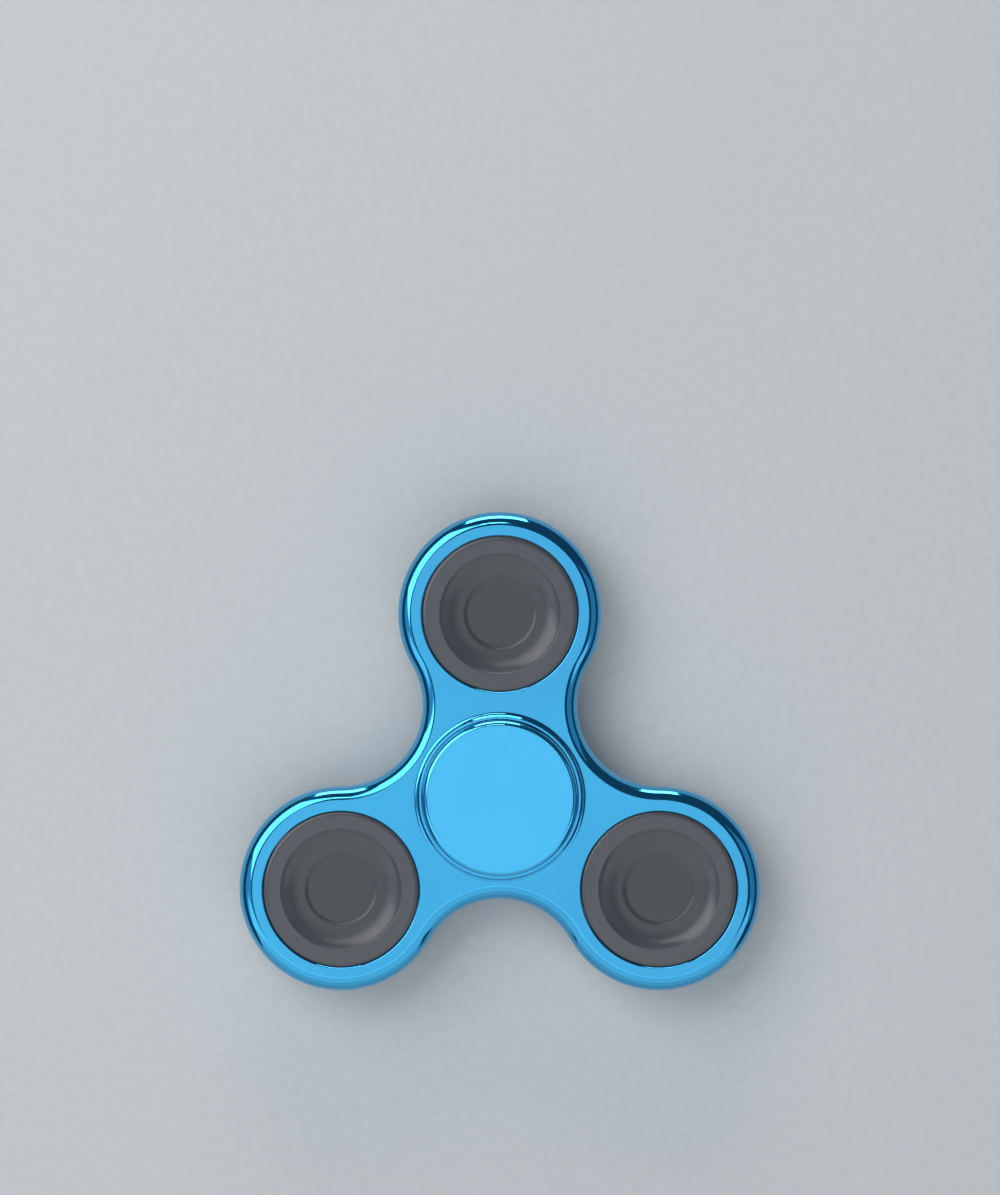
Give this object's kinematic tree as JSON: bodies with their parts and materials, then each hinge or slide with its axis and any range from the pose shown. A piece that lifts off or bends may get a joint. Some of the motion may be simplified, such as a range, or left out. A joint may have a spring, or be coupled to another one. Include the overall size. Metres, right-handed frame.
{
  "type": "fidget spinner",
  "caption": "Flat lobed hand spinner with a round dished weight in each lobe, turning on a shielded ball bearing held between round finger caps.",
  "frame": {"origin": "where the spin axis meets the flat face of the rear finger cap", "axes": "+Z along the spin axis, from the rear cap to the front cap; +Y from the spin axis through the middle of the top lobe"},
  "size_m": [0.0738, 0.068, 0.013],
  "materials": {
    "blue_plating": "bright metallic blue plating over moulded plastic, mirror gloss",
    "blue_cap_plating": "bright metallic blue plating over moulded plastic, mirror gloss",
    "dark_weight_steel": "dark grey blackened steel, satin",
    "race_steel": "ground bearing steel",
    "ball_steel": "polished bearing steel",
    "pressed_steel": "plain pressed steel sheet",
    "spring_wire": "drawn spring wire"
  },
  "bodies": {
    "finger_caps": {"front_cap": "blue_cap_plating", "rear_cap": "blue_cap_plating", "bearing_inner_race": "race_steel"},
    "rotor": {"spinner_body": "blue_plating", "weight_top": "dark_weight_steel", "weight_left": "dark_weight_steel", "weight_right": "dark_weight_steel", "bearing_outer_race": "race_steel", "shield_front": "pressed_steel", "shield_rear": "pressed_steel", "shield_clip_front": "spring_wire", "shield_clip_rear": "spring_wire"},
    "cage": {"cage_front_half": "pressed_steel", "cage_rear_half": "pressed_steel"},
    "ball_1": {"bearing_ball_1": "ball_steel"},
    "ball_2": {"bearing_ball_2": "ball_steel"},
    "ball_3": {"bearing_ball_3": "ball_steel"},
    "ball_4": {"bearing_ball_4": "ball_steel"},
    "ball_5": {"bearing_ball_5": "ball_steel"},
    "ball_6": {"bearing_ball_6": "ball_steel"},
    "ball_7": {"bearing_ball_7": "ball_steel"}
  },
  "joints": [
    {"name": "rotor_spin", "type": "hinge", "parent": "finger_caps", "child": "rotor", "pos_m": [0, 0, 0.0065], "axis": [0, 0, 1], "continuous": true},
    {"name": "cage_spin", "type": "hinge", "parent": "finger_caps", "child": "cage", "pos_m": [0, 0, 0.0065], "axis": [0, 0, 1], "continuous": true},
    {"name": "ball_1_roll", "type": "hinge", "parent": "cage", "child": "ball_1", "pos_m": [0, 0.0075, 0.0065], "axis": [0, 0, 1], "continuous": true},
    {"name": "ball_2_roll", "type": "hinge", "parent": "cage", "child": "ball_2", "pos_m": [-0.00586, 0.00468, 0.0065], "axis": [0, 0, 1], "continuous": true},
    {"name": "ball_3_roll", "type": "hinge", "parent": "cage", "child": "ball_3", "pos_m": [-0.00731, -0.00167, 0.0065], "axis": [0, 0, 1], "continuous": true},
    {"name": "ball_4_roll", "type": "hinge", "parent": "cage", "child": "ball_4", "pos_m": [-0.00325, -0.00676, 0.0065], "axis": [0, 0, 1], "continuous": true},
    {"name": "ball_5_roll", "type": "hinge", "parent": "cage", "child": "ball_5", "pos_m": [0.00325, -0.00676, 0.0065], "axis": [0, 0, 1], "continuous": true},
    {"name": "ball_6_roll", "type": "hinge", "parent": "cage", "child": "ball_6", "pos_m": [0.00731, -0.00167, 0.0065], "axis": [0, 0, 1], "continuous": true},
    {"name": "ball_7_roll", "type": "hinge", "parent": "cage", "child": "ball_7", "pos_m": [0.00586, 0.00468, 0.0065], "axis": [0, 0, 1], "continuous": true}
  ],
  "couplings": [
    {"joint": "cage_spin", "follows": "rotor_spin", "ratio": 0.6323},
    {"joint": "ball_1_roll", "follows": "rotor_spin", "ratio": 1.7573},
    {"joint": "ball_2_roll", "follows": "rotor_spin", "ratio": 1.7573},
    {"joint": "ball_3_roll", "follows": "rotor_spin", "ratio": 1.7573},
    {"joint": "ball_4_roll", "follows": "rotor_spin", "ratio": 1.7573},
    {"joint": "ball_5_roll", "follows": "rotor_spin", "ratio": 1.7573},
    {"joint": "ball_6_roll", "follows": "rotor_spin", "ratio": 1.7573},
    {"joint": "ball_7_roll", "follows": "rotor_spin", "ratio": 1.7573}
  ]
}
